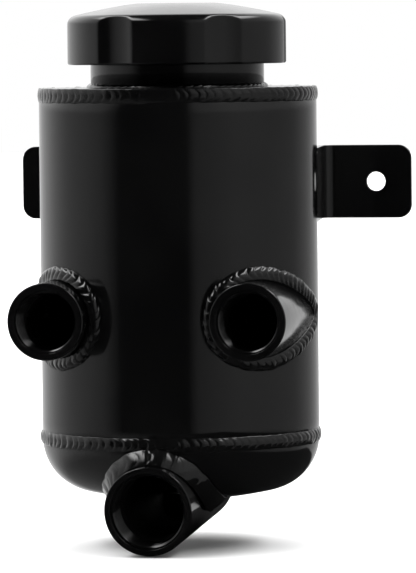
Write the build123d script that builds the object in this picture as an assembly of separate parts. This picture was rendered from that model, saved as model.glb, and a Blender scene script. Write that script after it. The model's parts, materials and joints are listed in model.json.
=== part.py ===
from build123d import *
import math
import os

os.makedirs("parts", exist_ok=True)

# A fabricated aluminium fluid reservoir that hangs from two bracket ears.
# Every piece is modelled about the tank's axis, with Z = 0 at the lower seam, -Y to the front
# and +X to the right. to_mount then moves it so that the origin lies midway between the two
# bolt holes, on the plane that the ears are bolted against.

# Tank
tank_r = 50.8
wall = 3.0
tank_height = 127.3
plate_thickness = 4.0
plate_chamfer = 0.5
seam_groove = 1.2

# Dished bottom: a short straight flange, a knuckle and a shallow crown
dish_straight = 0.4
dish_depth = 24.4
knuckle_r = 19.8

# Seam beads: half height, and how far they stand proud of the tube
bead_half_height = 2.6
bead_half_width = 1.0
top_bead_proud = 0.4
bottom_bead_proud = 0.65

# Filler neck
neck_r = 31.75
neck_bore_r = 27.5
neck_root_r = 30.0
neck_crest_r = 31.7
neck_height = 20.6
neck_shoulder = 9.3
neck_weld_leg = 2.4
neck_weld_belly = 1.3

# Screw cap and its thread
cap_r = 40.25
cap_base = 8.4
cap_height = 22.2
cap_edge = 0.8
cap_bore_r = 32.1
cap_crest_r = 30.5
cap_ceiling = 24.2
scallop_count = 6
scallop_r = 19.9
scallop_depth = 2.0
scallop_angle = -52.3
thread_lead = 5.0
thread_root_width = 2.4
thread_crest_width = 1.0
thread_overlap = 0.4
neck_thread_start = 14.1
neck_thread_turns = 0.95
cap_thread_start = 11.6
cap_thread_turns = 1.4

# Points of the cap's domed top: how far in from the rim, or out from the axis, and how far down
dome_flat_r = 14.0
dome_mid_r = 26.0
dome_mid_drop = 1.75
dome_edge_in = 3.2
dome_edge_drop = 4.1
dome_turn_in = 0.9
dome_turn_drop = 5.4
dome_side_drop = 7.6

# Sealing pieces inside the cap
gasket_thickness = 2.0
gasket_r = 31.2
gasket_bore_r = 26.5
seal_plate_thickness = 1.5
rivet_r = 3.0
rivet_head_r = 6.0
rivet_head_thickness = 1.2
rivet_depth = 1.6
rivet_clearance = 0.4
slip_gap = 0.1

# The two return ports, 7/8-14 straight thread for an O-ring fitting
return_x = 36.8
return_z = 44.5
return_r = 13.9
return_bore_r = 10.3
return_drill_r = 9.4
return_thread_r = 11.1
return_seat_r = 11.5

# The outlet port under the dish, 1 1/16-12 straight thread for an O-ring fitting
# Its tube leans: the mouth, at outlet_z, points a little downwards.
outlet_z = -23.2
outlet_tilt = 4.0
outlet_length = 72.5
outlet_r = 16.0
outlet_bore_r = 12.45
outlet_drill_r = 11.4
outlet_thread_r = 13.5
outlet_seat_r = 13.9
end_plate_thickness = 3.0

# All three mouths are centred in one plane in front of the tank's axis. Behind the thread
# each bore narrows to the tap drill's lead hole.
port_face = 57.5
seat_depth = 1.0
thread_depth = 12.5
port_bevel = 0.4

# Port welds: a wide low step and a narrow high step on the tank's surface
weld_steps = [(4.6, 1.8), (2.6, 3.8)]
weld_side_limit = 51.6
port_weld_back = 1.0
outlet_weld_steps = [(4.4, 1.6), (2.4, 3.2)]

# Brackets: a flat leg butted on the tank's side, running back and leaning in, and an ear bent
# outwards from it. leg_offset is how far the leg's outer face lies from the tank's axis.
bracket_z = 90.5
bracket_height = 27.5
strap = 2.0
leg_angle = 7.0
leg_offset = 49.6
ear_front = 65.5
bend_r = 4.0
ear_end_x = 75.3
ear_corner_r = 5.0
hole_x = 61.8
hole_r = 3.6

# Bracket welds: a low cap bead outside the leg, and a bead in the wedge behind it
cap_bead_r = 2.2
cap_bead_proud = 0.6
wedge_bead_r = 1.6
bracket_weld_length = 26.0

# Perforated baffle between the return ports and the outlet
baffle_z = 22.0
baffle_r = 47.5
baffle_thickness = 2.0
baffle_centre_hole_r = 10.0
baffle_hole_r = 6.0
baffle_hole_pitch_r = 30.0
baffle_hole_count = 8
tack_r = 2.2
tack_count = 4

CENTRE_MIN = (Align.CENTER, Align.CENTER, Align.MIN)
rim_z = tank_height
to_mount = Location((0, -(ear_front + strap), -bracket_z))
return_mouth = Pos(return_x, -port_face, return_z)
outlet_mouth = Pos(0, -port_face, outlet_z) * Rot(outlet_tilt, 0, 0)
top_seam_z = rim_z - bead_half_height


def save(node, shape):
    """Write one node, moved from the tank's frame to the mounting frame."""
    export_step(to_mount * shape, f"parts/{node}.step")


def upright(radius, z_low, z_high):
    """A solid cylinder on the tank's axis."""
    return Pos(0, 0, z_low) * Cylinder(radius, z_high - z_low, align=CENTRE_MIN)


def forward(x, z, radius, y_back, y_front):
    """A solid cylinder that lies along Y, from y_front to y_back."""
    return Pos(x, y_back, z) * Rot(90, 0, 0) * Cylinder(radius, y_back - y_front, align=CENTRE_MIN)


def on_outlet(radius, start, end):
    """A solid cylinder on the outlet's leaning axis, start and end counted back from its mouth."""
    return outlet_mouth * forward(0, 0, radius, end, start)


def polar(radius, degrees):
    """A point of the plan view, its angle counted from +X towards +Y."""
    angle = math.radians(degrees)
    return (radius * math.cos(angle), radius * math.sin(angle))


def revolved(edges):
    """Turn a closed outline of (radius, height) edges about the tank's axis."""
    return revolve(Plane.XZ * make_face(edges), Axis.Z)


def mirrored(shape):
    """The left-hand twin of a right-hand piece."""
    return mirror(shape, Plane.YZ)


def dish_volume(offset):
    """Everything inside the dish's outer surface, moved outwards by offset."""
    knuckle_x = tank_r - knuckle_r
    drop = dish_depth - dish_straight
    crown_r = (drop**2 + knuckle_x**2 - knuckle_r**2) / (2 * (drop - knuckle_r))
    crown_z = crown_r - dish_depth
    tilt = math.atan2(knuckle_x, crown_z + dish_straight)
    meet = ((crown_r + offset) * math.sin(tilt), crown_z - (crown_r + offset) * math.cos(tilt))
    knuckle = knuckle_r + offset
    half = (math.pi / 2 - tilt) / 2
    knuckle_mid = (
        knuckle_x + knuckle * math.cos(half),
        -dish_straight - knuckle * math.sin(half),
    )
    crown_mid = (
        (crown_r + offset) * math.sin(tilt / 2),
        crown_z - (crown_r + offset) * math.cos(tilt / 2),
    )
    shoulder = (tank_r + offset, -dish_straight)
    bottom = (0, -dish_depth - offset)
    return revolved(
        [
            Line((0, 0), (tank_r + offset, 0)),
            Line((tank_r + offset, 0), shoulder),
            ThreePointArc(shoulder, knuckle_mid, meet),
            ThreePointArc(meet, crown_mid, bottom),
            Line(bottom, (0, 0)),
        ]
    )


def groove_cutter(z):
    """The V that is ground round the tube's outside before a seam at height z is welded."""
    outer = tank_r + seam_groove
    inner = tank_r - seam_groove
    spread = 2 * seam_groove
    corners = [(inner, z), (outer, z + spread), (outer, z - spread)]
    return revolved([Polyline(*corners, close=True)])


def seam_bead(z, proud):
    """The bead that fills the V at height z and crowns it."""
    centre = tank_r + proud - bead_half_width
    section = Pos(centre, z) * Ellipse(bead_half_width, bead_half_height)
    bead = revolve(Plane.XZ * section, Axis.Z)
    inner_fill = revolve(
        Plane.XZ
        * make_face(
            Polyline(
                (tank_r - seam_groove, z),
                (tank_r, z + seam_groove),
                (tank_r, z - seam_groove),
                close=True,
            )
        ),
        Axis.Z,
    )
    skin = upright(tank_r, z - 2 * bead_half_height, z + 2 * bead_half_height)
    return (bead - skin) + inner_fill


def thread_ridge(root_r, crest_r, start_z, turns):
    """A right-hand trapezoid ridge; crest_r under root_r makes it face inwards."""
    depth = thread_overlap if crest_r > root_r else -thread_overlap
    outline = Polyline(
        (root_r - depth, -thread_root_width / 2),
        (crest_r, -thread_crest_width / 2),
        (crest_r, thread_crest_width / 2),
        (root_r - depth, thread_root_width / 2),
        close=True,
    )
    start = Plane(origin=(0, 0, start_z), x_dir=(1, 0, 0), z_dir=(0, -1, 0))
    helix = Pos(0, 0, start_z) * Helix(thread_lead, thread_lead * turns, root_r)
    return sweep(start * make_face(outline), path=helix, is_frenet=True)


# Tank shell

def tank_tube():
    shell = upright(tank_r, 0, rim_z - plate_thickness) - upright(tank_r - wall, 0, rim_z)
    for side in (-1, 1):
        shell -= forward(side * return_x, return_z, return_drill_r, 0, -tank_r - wall)
    return shell - groove_cutter(0) - groove_cutter(top_seam_z)


def top_plate():
    plate = upright(tank_r, rim_z - plate_thickness, rim_z) - upright(neck_bore_r, 0, rim_z)
    edge = plate.edges().filter_by(GeomType.CIRCLE).group_by(Axis.Z)[-1].sort_by(SortBy.RADIUS)[-1]
    return chamfer(edge, plate_chamfer) - groove_cutter(top_seam_z)


def bottom_dish():
    shell = dish_volume(0) - dish_volume(-wall) - groove_cutter(0)
    return shell - on_outlet(outlet_r, 0, outlet_length)


# Filler neck and cap

def filler_neck():
    top = rim_z + neck_height
    shoulder = rim_z + neck_shoulder
    neck = upright(neck_r, rim_z, shoulder) + upright(neck_root_r, shoulder, top)
    neck += thread_ridge(neck_root_r, neck_crest_r, rim_z + neck_thread_start, neck_thread_turns)
    return neck - upright(neck_bore_r, rim_z, top)


def neck_weld():
    inner = (neck_r, rim_z)
    foot = (neck_r + neck_weld_leg, rim_z)
    head = (neck_r, rim_z + neck_weld_leg)
    belly = (neck_r + neck_weld_belly, rim_z + neck_weld_belly)
    return revolved([Line(inner, foot), ThreePointArc(foot, belly, head), Line(head, inner)])


def filler_cap():
    base = rim_z + cap_base
    top = base + cap_height
    side = (cap_r, top - dome_side_drop)
    turn = (cap_r - dome_turn_in, top - dome_turn_drop)
    edge = (cap_r - dome_edge_in, top - dome_edge_drop)
    middle = (dome_mid_r, top - dome_mid_drop)
    outline = [
        Line((0, base), (cap_r - cap_edge, base)),
        Line((cap_r - cap_edge, base), (cap_r, base + cap_edge)),
        Line((cap_r, base + cap_edge), side),
        ThreePointArc(side, turn, edge),
        ThreePointArc(edge, middle, (dome_flat_r, top)),
        Line((dome_flat_r, top), (0, top)),
        Line((0, top), (0, base)),
    ]
    ceiling = rim_z + cap_ceiling
    cap = revolved(outline) - upright(cap_bore_r, base, ceiling)
    for index in range(scallop_count):
        angle = scallop_angle + 360 * index / scallop_count
        x, y = polar(cap_r - scallop_depth + scallop_r, angle)
        cap -= Pos(x, y, base) * Cylinder(scallop_r, cap_height, align=CENTRE_MIN)
    cap += thread_ridge(cap_bore_r, cap_crest_r, rim_z + cap_thread_start, cap_thread_turns)
    return cap - upright(rivet_r, ceiling, ceiling + rivet_depth)


def cap_gasket():
    low = rim_z + neck_height
    high = low + gasket_thickness
    return upright(gasket_r, low, high) - upright(gasket_bore_r, low, high)


def gasket_plate():
    low = rim_z + neck_height + gasket_thickness
    high = low + seal_plate_thickness
    return upright(gasket_r, low, high) - upright(rivet_r + rivet_clearance, low, high)


def plate_rivet():
    plate_low = rim_z + neck_height + gasket_thickness
    head_top = plate_low - slip_gap
    shank_top = rim_z + cap_ceiling + rivet_depth
    head = upright(rivet_head_r, head_top - rivet_head_thickness, head_top)
    return head + upright(rivet_r, head_top, shank_top)


# Ports

def port_tube(radius, bore_r, drill_r, thread_r, seat_r, length):
    """A tube with a countersunk tapped mouth, lying along +Y from the mouth's centre."""
    tube = forward(0, 0, radius, length, 0)
    rim = tube.edges().filter_by(GeomType.CIRCLE).sort_by(Axis.Y)[0]
    tube = chamfer(rim, port_bevel)
    tube -= forward(0, 0, drill_r, length, 0) + forward(0, 0, bore_r, thread_depth, 0)
    inwards = Rot(-90, 0, 0)
    start = thread_r - bore_r
    tube -= inwards * Cone(seat_r, thread_r, seat_depth, align=CENTRE_MIN)
    return tube - inwards * Pos(0, 0, seat_depth) * Cone(thread_r, bore_r, start, align=CENTRE_MIN)


def return_port():
    tube = port_tube(
        return_r, return_bore_r, return_drill_r, return_thread_r, return_seat_r, port_face
    )
    return return_mouth * tube - upright(tank_r, 0, rim_z)


def outlet_port():
    tube = port_tube(
        outlet_r, outlet_bore_r, outlet_drill_r, outlet_thread_r, outlet_seat_r, outlet_length
    )
    return outlet_mouth * tube - dish_volume(-wall)


def outlet_end_plate():
    back = outlet_length + end_plate_thickness
    return on_outlet(outlet_r, outlet_length, back) - dish_volume(0)


def return_port_weld():
    blank = forward(return_x, return_z, return_r, 0, -port_face) + upright(tank_r, 0, rim_z)
    front = Pos(0, -port_weld_back, 0) * Box(
        2 * weld_side_limit, 2 * tank_r, rim_z, align=(Align.CENTER, Align.MAX, Align.MIN)
    )
    bead = Part()
    for leg, height in weld_steps:
        sleeve = forward(return_x, return_z, return_r + leg, 0, -port_face)
        bead += sleeve & upright(tank_r + height, 0, rim_z)
    return (bead & front) - blank


def outlet_weld():
    blank = on_outlet(outlet_r, 0, outlet_length) + dish_volume(0)
    bead = Part()
    for leg, height in outlet_weld_steps:
        bead += on_outlet(outlet_r + leg, 0, outlet_length) & dish_volume(height)
    return bead - blank - seam_bead(0, bottom_bead_proud) - upright(tank_r, 0, rim_z)


def end_plate_weld():
    back = outlet_length + end_plate_thickness
    blank = on_outlet(outlet_r, outlet_length, back) + dish_volume(0)
    bead = Part()
    for leg, height in outlet_weld_steps:
        bead += on_outlet(outlet_r + leg, outlet_length, back + leg) & dish_volume(height)
    return bead - blank


# Brackets

def right_bracket():
    lean = math.radians(leg_angle)
    centre_y = ear_front - bend_r
    centre_x = (leg_offset + bend_r - centre_y * math.sin(lean)) / math.cos(lean)
    back = ear_front + strap
    far = bend_r + strap
    leg_side = 180 + leg_angle
    middle = (leg_side + 90) / 2

    def on_bend(radius, degrees):
        x, y = polar(radius, degrees)
        return (centre_x + x, centre_y + y)

    outer_start = polar(leg_offset, leg_angle)
    inner_start = polar(leg_offset - strap, leg_angle)
    face = make_face(
        [
            Line(inner_start, outer_start),
            Line(outer_start, on_bend(bend_r, leg_side)),
            ThreePointArc(on_bend(bend_r, leg_side), on_bend(bend_r, middle), on_bend(bend_r, 90)),
            Line(on_bend(bend_r, 90), (ear_end_x, ear_front)),
            Line((ear_end_x, ear_front), (ear_end_x, back)),
            Line((ear_end_x, back), on_bend(far, 90)),
            ThreePointArc(on_bend(far, 90), on_bend(far, middle), on_bend(far, leg_side)),
            Line(on_bend(far, leg_side), inner_start),
        ]
    )
    strip = extrude(Pos(0, 0, bracket_z - bracket_height / 2) * face, bracket_height)
    ear_corners = strip.edges().filter_by(Axis.Y).group_by(Axis.X)[-1]
    strip = fillet(ear_corners, ear_corner_r) - upright(tank_r, 0, rim_z)
    return strip - forward(hole_x, bracket_z, hole_r, back, ear_front)


def leg_meets_tank(offset):
    """The angle at which the leg's plane, offset from the tank's axis, meets the tank."""
    return leg_angle + math.degrees(math.acos(offset / tank_r))


def right_bracket_weld(bracket):
    low = bracket_z - bracket_weld_length / 2
    cap_x, cap_y = polar(tank_r + cap_bead_proud - cap_bead_r, leg_meets_tank(leg_offset))
    root_x, root_y = polar(tank_r, leg_meets_tank(leg_offset - strap))
    run_x, run_y = polar(wedge_bead_r, 90 + (leg_angle + leg_meets_tank(leg_offset - strap)) / 2)
    cap_rod = Cylinder(cap_bead_r, bracket_weld_length, align=CENTRE_MIN)
    wedge_rod = Cylinder(wedge_bead_r, bracket_weld_length, align=CENTRE_MIN)
    rods = Pos(cap_x, cap_y, low) * cap_rod
    rods += Pos(root_x + run_x, root_y + run_y, low) * wedge_rod
    return rods - upright(tank_r, 0, rim_z) - bracket


# Baffle

def baffle_plate():
    plate = upright(baffle_r, baffle_z, baffle_z + baffle_thickness)
    plate -= upright(baffle_centre_hole_r, baffle_z, baffle_z + baffle_thickness)
    for index in range(baffle_hole_count):
        x, y = polar(baffle_hole_pitch_r, 360 * index / baffle_hole_count)
        plate -= Pos(x, y, baffle_z) * Cylinder(
            baffle_hole_r, baffle_thickness, align=CENTRE_MIN
        )
    return plate


def baffle_tacks():
    top = baffle_z + baffle_thickness
    tacks = Part()
    for index in range(tack_count):
        x, y = polar(tank_r - wall, 45 + 360 * index / tack_count)
        tacks += Pos(x, y, top) * Sphere(tack_r)
    return (tacks & upright(tank_r - wall, 0, rim_z)) - upright(baffle_r, 0, top)


bracket = right_bracket()
bracket_weld = right_bracket_weld(bracket)
port = return_port()
port_weld = return_port_weld()

nodes = {
    "tank_tube": tank_tube(),
    "top_plate": top_plate(),
    "bottom_dish": bottom_dish(),
    "filler_neck": filler_neck(),
    "filler_cap": filler_cap(),
    "cap_gasket": cap_gasket(),
    "gasket_plate": gasket_plate(),
    "plate_rivet": plate_rivet(),
    "right_port": port,
    "left_port": mirrored(port),
    "outlet_port": outlet_port(),
    "outlet_end_plate": outlet_end_plate(),
    "right_bracket": bracket,
    "left_bracket": mirrored(bracket),
    "top_seam_weld": seam_bead(top_seam_z, top_bead_proud),
    "bottom_seam_weld": seam_bead(0, bottom_bead_proud),
    "neck_weld": neck_weld(),
    "right_port_weld": port_weld,
    "left_port_weld": mirrored(port_weld),
    "outlet_weld": outlet_weld(),
    "end_plate_weld": end_plate_weld(),
    "right_bracket_weld": bracket_weld,
    "left_bracket_weld": mirrored(bracket_weld),
    "baffle_plate": baffle_plate(),
    "baffle_tacks": baffle_tacks(),
}
for node, shape in nodes.items():
    save(node, shape)
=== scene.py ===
"""Looks of a fabricated aluminium fluid reservoir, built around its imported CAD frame."""

import json
import math

import bmesh
import bpy
import numpy as np
from mathutils import Matrix, Vector


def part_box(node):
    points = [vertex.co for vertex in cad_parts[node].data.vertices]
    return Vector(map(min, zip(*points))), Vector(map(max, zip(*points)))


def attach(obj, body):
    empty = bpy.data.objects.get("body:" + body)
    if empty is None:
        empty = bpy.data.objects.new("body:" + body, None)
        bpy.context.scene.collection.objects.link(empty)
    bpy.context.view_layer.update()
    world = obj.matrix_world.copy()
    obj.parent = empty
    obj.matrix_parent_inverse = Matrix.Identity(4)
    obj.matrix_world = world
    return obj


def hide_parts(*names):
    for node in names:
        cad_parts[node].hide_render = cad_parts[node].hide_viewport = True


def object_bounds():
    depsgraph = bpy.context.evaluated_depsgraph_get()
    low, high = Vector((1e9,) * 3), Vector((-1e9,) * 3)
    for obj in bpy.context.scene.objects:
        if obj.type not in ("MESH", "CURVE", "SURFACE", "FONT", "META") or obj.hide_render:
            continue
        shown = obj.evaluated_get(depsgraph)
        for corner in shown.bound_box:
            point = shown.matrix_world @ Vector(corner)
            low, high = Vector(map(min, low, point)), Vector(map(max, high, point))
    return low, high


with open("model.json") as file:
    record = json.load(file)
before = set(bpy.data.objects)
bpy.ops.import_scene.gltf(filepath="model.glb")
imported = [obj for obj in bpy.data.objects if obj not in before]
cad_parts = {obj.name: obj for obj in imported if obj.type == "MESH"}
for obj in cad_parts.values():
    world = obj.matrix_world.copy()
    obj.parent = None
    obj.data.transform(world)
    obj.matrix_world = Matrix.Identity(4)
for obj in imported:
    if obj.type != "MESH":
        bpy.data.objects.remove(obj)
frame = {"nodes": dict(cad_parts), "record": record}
cad_low, cad_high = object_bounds()

MM = 0.001
INCH = 25.4 * MM
TAU = 2 * math.pi

# Places and sizes read from the frame

tank_low, tank_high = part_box("tank_tube")
AXIS_Y = (tank_low.y + tank_high.y) / 2
TANK_R = (tank_high.x - tank_low.x) / 2
SEAM_Z = tank_low.z
RIM_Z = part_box("top_plate")[1].z
DISH_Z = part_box("bottom_dish")[0].z

MOUNTS = {mount["name"]: mount for mount in frame["record"]["mounts"]}
RETURN_BORE_R = MOUNTS["right_return_port"]["dims"]["r_mm"] * MM
OUTLET_BORE_R = MOUNTS["outlet_port"]["dims"]["r_mm"] * MM
HOLE_X = MOUNTS["bracket_bolts"]["dims"]["spacing_x_mm"] * MM / 2
HOLE_R = MOUNTS["bracket_bolts"]["dims"]["hole_r_mm"] * MM

port_low, port_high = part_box("right_port")
RETURN_X = (port_low.x + port_high.x) / 2
RETURN_Z = (port_low.z + port_high.z) / 2
RETURN_R = (port_high.x - port_low.x) / 2
PORT_FACE_Y = port_low.y

outlet_low, outlet_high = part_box("outlet_port")
OUTLET_R = (outlet_high.x - outlet_low.x) / 2

neck_low, neck_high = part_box("filler_neck")
NECK_R = (neck_high.x - neck_low.x) / 2
NECK_TOP = neck_high.z

cap_low, cap_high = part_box("filler_cap")
CAP_R = (cap_high.y - cap_low.y) / 2
CAP_BASE = cap_low.z
CAP_TOP = cap_high.z

bracket_low, bracket_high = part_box("right_bracket")
EAR_END_X = bracket_high.x
EAR_BACK_Y = bracket_high.y
STRAP_HEIGHT = bracket_high.z - bracket_low.z

# Sizes that the boxes don't hold

WALL = 3.0 * MM
PLATE = 4.0 * MM
DISH_STRAIGHT = 0.4 * MM
KNUCKLE_R = 19.8 * MM
NECK_BORE_R = 27.5 * MM
NECK_ROOT_R = 30.0 * MM
NECK_CREST_R = 31.7 * MM
NECK_SHOULDER = 9.3 * MM
CAP_BORE_R = 32.1 * MM
CAP_CREST_R = 30.5 * MM
CAP_CEILING = RIM_Z + 24.2 * MM
THREAD_LEAD = 5.0 * MM
THREAD_ROOT_WIDTH = 2.4 * MM
THREAD_CREST_WIDTH = 1.0 * MM
NECK_THREAD_START = RIM_Z + 14.1 * MM
NECK_THREAD_TURNS = 0.95
CAP_THREAD_START = RIM_Z + 11.6 * MM
CAP_THREAD_TURNS = 1.4
SCALLOP_COUNT = 6
SCALLOP_R = 19.9 * MM
SCALLOP_DEPTH = 2.0 * MM
SCALLOP_ANGLE = math.radians(-52.3)
CAP_FLAT_R = 14.0 * MM
CAP_SHOULDER_IN = 3.2 * MM
CAP_SHOULDER_DROP = 4.1 * MM
CAP_DOME_POWER = 1.3
CAP_SIDE_DROP = 7.6 * MM
CAP_EDGE = 0.8 * MM
GASKET_BORE_R = 26.5 * MM
OUTLET_MOUTH_Z = SEAM_Z - 23.2 * MM
OUTLET_TILT = math.radians(4.0)
OUTLET_LENGTH = 72.5 * MM
SEAT_DEPTH = 1.0 * MM
THREAD_DEPTH = 12.5 * MM
LEAD_HOLE_STEP = 0.95 * MM
TANK_HOLE_R = RETURN_BORE_R - 0.9 * MM
RETURN_PITCH = INCH / 14
OUTLET_PITCH = INCH / 12
STRAP = 2.0 * MM
LEG_ANGLE = math.radians(7.0)
LEG_OFFSET = 49.6 * MM
BEND_R = 4.0 * MM
EAR_CORNER_R = 5.0 * MM
SEAM_HALF = 2.6 * MM
TOP_SEAM_PROUD = 0.4 * MM
BOTTOM_SEAM_PROUD = 0.65 * MM
NECK_WELD_LEG = 1.6 * MM
PORT_WELD_LEG = 5.0 * MM
PORT_WELD_CLIMB = 3.0 * MM
OUTLET_WELD_LEG = 5.8 * MM
OUTLET_WELD_CLIMB = 5.2 * MM
BRACKET_WELD_HALF = 2.0 * MM
BURIED = 0.7 * MM
RIPPLE = 2.7 * MM
SEAM_RIPPLE = 3.2 * MM
NECK_RIPPLE = 3.0 * MM
BRACKET_RIPPLE = 2.6 * MM
THREAD_ROW = 0.2 * MM

OUTLET_PLACE = Matrix.Translation((0, PORT_FACE_Y, OUTLET_MOUTH_Z)) @ Matrix.Rotation(
    OUTLET_TILT, 4, "X"
)


# Materials

DEEP_BLACK = (0.0014, 0.0014, 0.0015)
COATING_IOR = 1.5
TOOL_MARKS = 3e-6
ROLLING_LINES = 4e-6
RUBBER_GRAIN = 2e-5


def node(tree, kind, **values):
    """Add a shader node; values set its properties, or its inputs by name."""
    made = tree.nodes.new(kind)
    for key, value in values.items():
        if key in made.inputs:
            made.inputs[key].default_value = value
        else:
            setattr(made, key, value)
    return made


def noise(tree, coords, scale, detail, roughness=0.5):
    """A 3D noise pattern in object space, scale in cells per metre."""
    made = node(tree, "ShaderNodeTexNoise", Scale=scale, Detail=detail, Roughness=roughness)
    tree.links.new(coords.outputs["Object"], made.inputs["Vector"])
    return made.outputs["Fac"]


def remapped(tree, value, start, end, low=0.0, high=1.0, easing="LINEAR"):
    """Map a value from the range start to end onto the range low to high."""
    made = node(tree, "ShaderNodeMapRange", interpolation_type=easing)
    made.inputs["From Min"].default_value = start
    made.inputs["From Max"].default_value = end
    made.inputs["To Min"].default_value = low
    made.inputs["To Max"].default_value = high
    tree.links.new(value, made.inputs["Value"])
    return made.outputs["Result"]


def spread(tree, pattern, low, high):
    """Map a noise pattern, most of which lies near 0.5, onto the range low to high."""
    return remapped(tree, pattern, 0.3, 0.7, low, high)


def blank_material(name):
    """A material with one Principled shader, and the coordinates its patterns use."""
    material = bpy.data.materials.new(name)
    material.use_nodes = True
    tree = material.node_tree
    tree.nodes.clear()
    shader = node(tree, "ShaderNodeBsdfPrincipled")
    output = node(tree, "ShaderNodeOutputMaterial")
    tree.links.new(shader.outputs["BSDF"], output.inputs["Surface"])
    coords = node(tree, "ShaderNodeTexCoord")
    return material, tree, shader, coords


def colour_between(tree, factor, dark, light):
    """A colour that wanders between two others with a pattern."""
    ramp = node(tree, "ShaderNodeValToRGB")
    ramp.color_ramp.elements[0].position = 0.35
    ramp.color_ramp.elements[0].color = (*dark, 1)
    ramp.color_ramp.elements[1].position = 0.65
    ramp.color_ramp.elements[1].color = (*light, 1)
    tree.links.new(factor, ramp.inputs["Fac"])
    return ramp.outputs["Color"]


def bump(tree, height, distance, strength=1.0):
    """Surface normals from a height pattern; distance is its depth in metres."""
    made = node(tree, "ShaderNodeBump", Strength=strength, Distance=distance)
    tree.links.new(height, made.inputs["Height"])
    return made.outputs["Normal"]


def gloss_black(name, roughness, peel):
    """Gloss black coating: faint orange peel, and slow changes of colour and gloss."""
    material, tree, shader, coords = blank_material(name)
    broad = noise(tree, coords, scale=35, detail=3)
    colour = colour_between(tree, broad, DEEP_BLACK, (0.0026, 0.0026, 0.0026))
    tree.links.new(colour, shader.inputs["Base Color"])
    fine = noise(tree, coords, scale=260, detail=4, roughness=0.6)
    tree.links.new(spread(tree, fine, *roughness), shader.inputs["Roughness"])
    orange_peel = noise(tree, coords, scale=700, detail=2)
    tree.links.new(bump(tree, orange_peel, peel), shader.inputs["Normal"])
    shader.inputs["IOR"].default_value = COATING_IOR
    return material


def turned_black(name, axis):
    """The same coating over turned metal, whose tool marks run round an axis."""
    material, tree, shader, coords = blank_material(name)
    broad = noise(tree, coords, scale=40, detail=3)
    colour = colour_between(tree, broad, DEEP_BLACK, (0.0028, 0.0027, 0.0028))
    tree.links.new(colour, shader.inputs["Base Color"])
    fine = noise(tree, coords, scale=300, detail=4, roughness=0.6)
    tree.links.new(spread(tree, fine, 0.09, 0.16), shader.inputs["Roughness"])
    split = node(tree, "ShaderNodeSeparateXYZ")
    tree.links.new(coords.outputs["Object"], split.inputs["Vector"])
    rings = node(tree, "ShaderNodeTexNoise", noise_dimensions="1D", Scale=2600, Detail=2)
    tree.links.new(split.outputs[axis], rings.inputs["W"])
    tree.links.new(bump(tree, rings.outputs["Fac"], TOOL_MARKS, 0.5), shader.inputs["Normal"])
    shader.inputs["IOR"].default_value = COATING_IOR
    return material


def bare_aluminium(name):
    """Uncoated sheet aluminium with rolling lines and a mottled sheen."""
    material, tree, shader, coords = blank_material(name)
    mottle = noise(tree, coords, scale=90, detail=4)
    tree.links.new(
        colour_between(tree, mottle, (0.58, 0.58, 0.6), (0.74, 0.74, 0.75)),
        shader.inputs["Base Color"],
    )
    stretch = node(tree, "ShaderNodeMapping", Scale=(1, 30, 1))
    tree.links.new(coords.outputs["Object"], stretch.inputs["Vector"])
    lines = node(tree, "ShaderNodeTexNoise", Scale=120, Detail=5)
    tree.links.new(stretch.outputs["Vector"], lines.inputs["Vector"])
    tree.links.new(spread(tree, lines.outputs["Fac"], 0.24, 0.42), shader.inputs["Roughness"])
    tree.links.new(bump(tree, lines.outputs["Fac"], ROLLING_LINES, 0.6), shader.inputs["Normal"])
    shader.inputs["Metallic"].default_value = 1.0
    return material


def black_rubber(name):
    """Matt moulded rubber with a fine grain."""
    material, tree, shader, coords = blank_material(name)
    grain = noise(tree, coords, scale=2200, detail=3, roughness=0.7)
    tree.links.new(
        colour_between(tree, grain, (0.012, 0.012, 0.012), (0.024, 0.023, 0.023)),
        shader.inputs["Base Color"],
    )
    tree.links.new(spread(tree, grain, 0.55, 0.75), shader.inputs["Roughness"])
    tree.links.new(bump(tree, grain, RUBBER_GRAIN, 0.5), shader.inputs["Normal"])
    return material


COATED = gloss_black("coated_sheet", (0.08, 0.14), 4e-6)
COATED_WELD = gloss_black("coated_weld", (0.08, 0.17), 1.2e-5)
COATED_INSIDE = gloss_black("coated_inside", (0.5, 0.65), 1e-5)
TURNED = turned_black("coated_turned_upright", "Z")
TURNED_PORT = turned_black("coated_turned_port", "Y")
ALUMINIUM = bare_aluminium("bare_aluminium")
RUBBER = black_rubber("black_rubber")


# Mesh helpers

def piece(name, replaced, mesh, material, body="reservoir", weighted=True):
    """Make one piece of the object that stands for a CAD node and rides on its body."""
    made = bpy.data.objects.new(name, mesh)
    bpy.context.scene.collection.objects.link(made)
    mesh.materials.clear()
    mesh.materials.append(material)
    mesh.shade_smooth()
    if weighted:
        made.modifiers.new("normals", "WEIGHTED_NORMAL").weight = 60
    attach(made, body)
    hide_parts(replaced)
    return made


def cleaned(work, name):
    """Turn a bmesh into a mesh with merged points, no faces without area and outward normals."""
    bmesh.ops.remove_doubles(work, verts=work.verts, dist=2e-6)
    bmesh.ops.dissolve_degenerate(work, edges=work.edges, dist=1e-6)
    bmesh.ops.recalc_face_normals(work, faces=work.faces)
    mesh = bpy.data.meshes.new(name)
    work.to_mesh(mesh)
    work.free()
    return mesh


def grid_mesh(name, points, close_rows=True, close_columns=True):
    """A skin over a table of points, indexed [row, column, xyz]."""
    rows, columns = points.shape[:2]
    work = bmesh.new()
    verts = [work.verts.new(p) for p in points.reshape(-1, 3)]
    last_row = rows if close_rows else rows - 1
    last_column = columns if close_columns else columns - 1
    for i in range(last_row):
        for j in range(last_column):
            up, across = (i + 1) % rows, (j + 1) % columns
            corners = [(i, j), (i, across), (up, across), (up, j)]
            work.faces.new([verts[a * columns + b] for a, b in corners])
    return cleaned(work, name)


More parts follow.
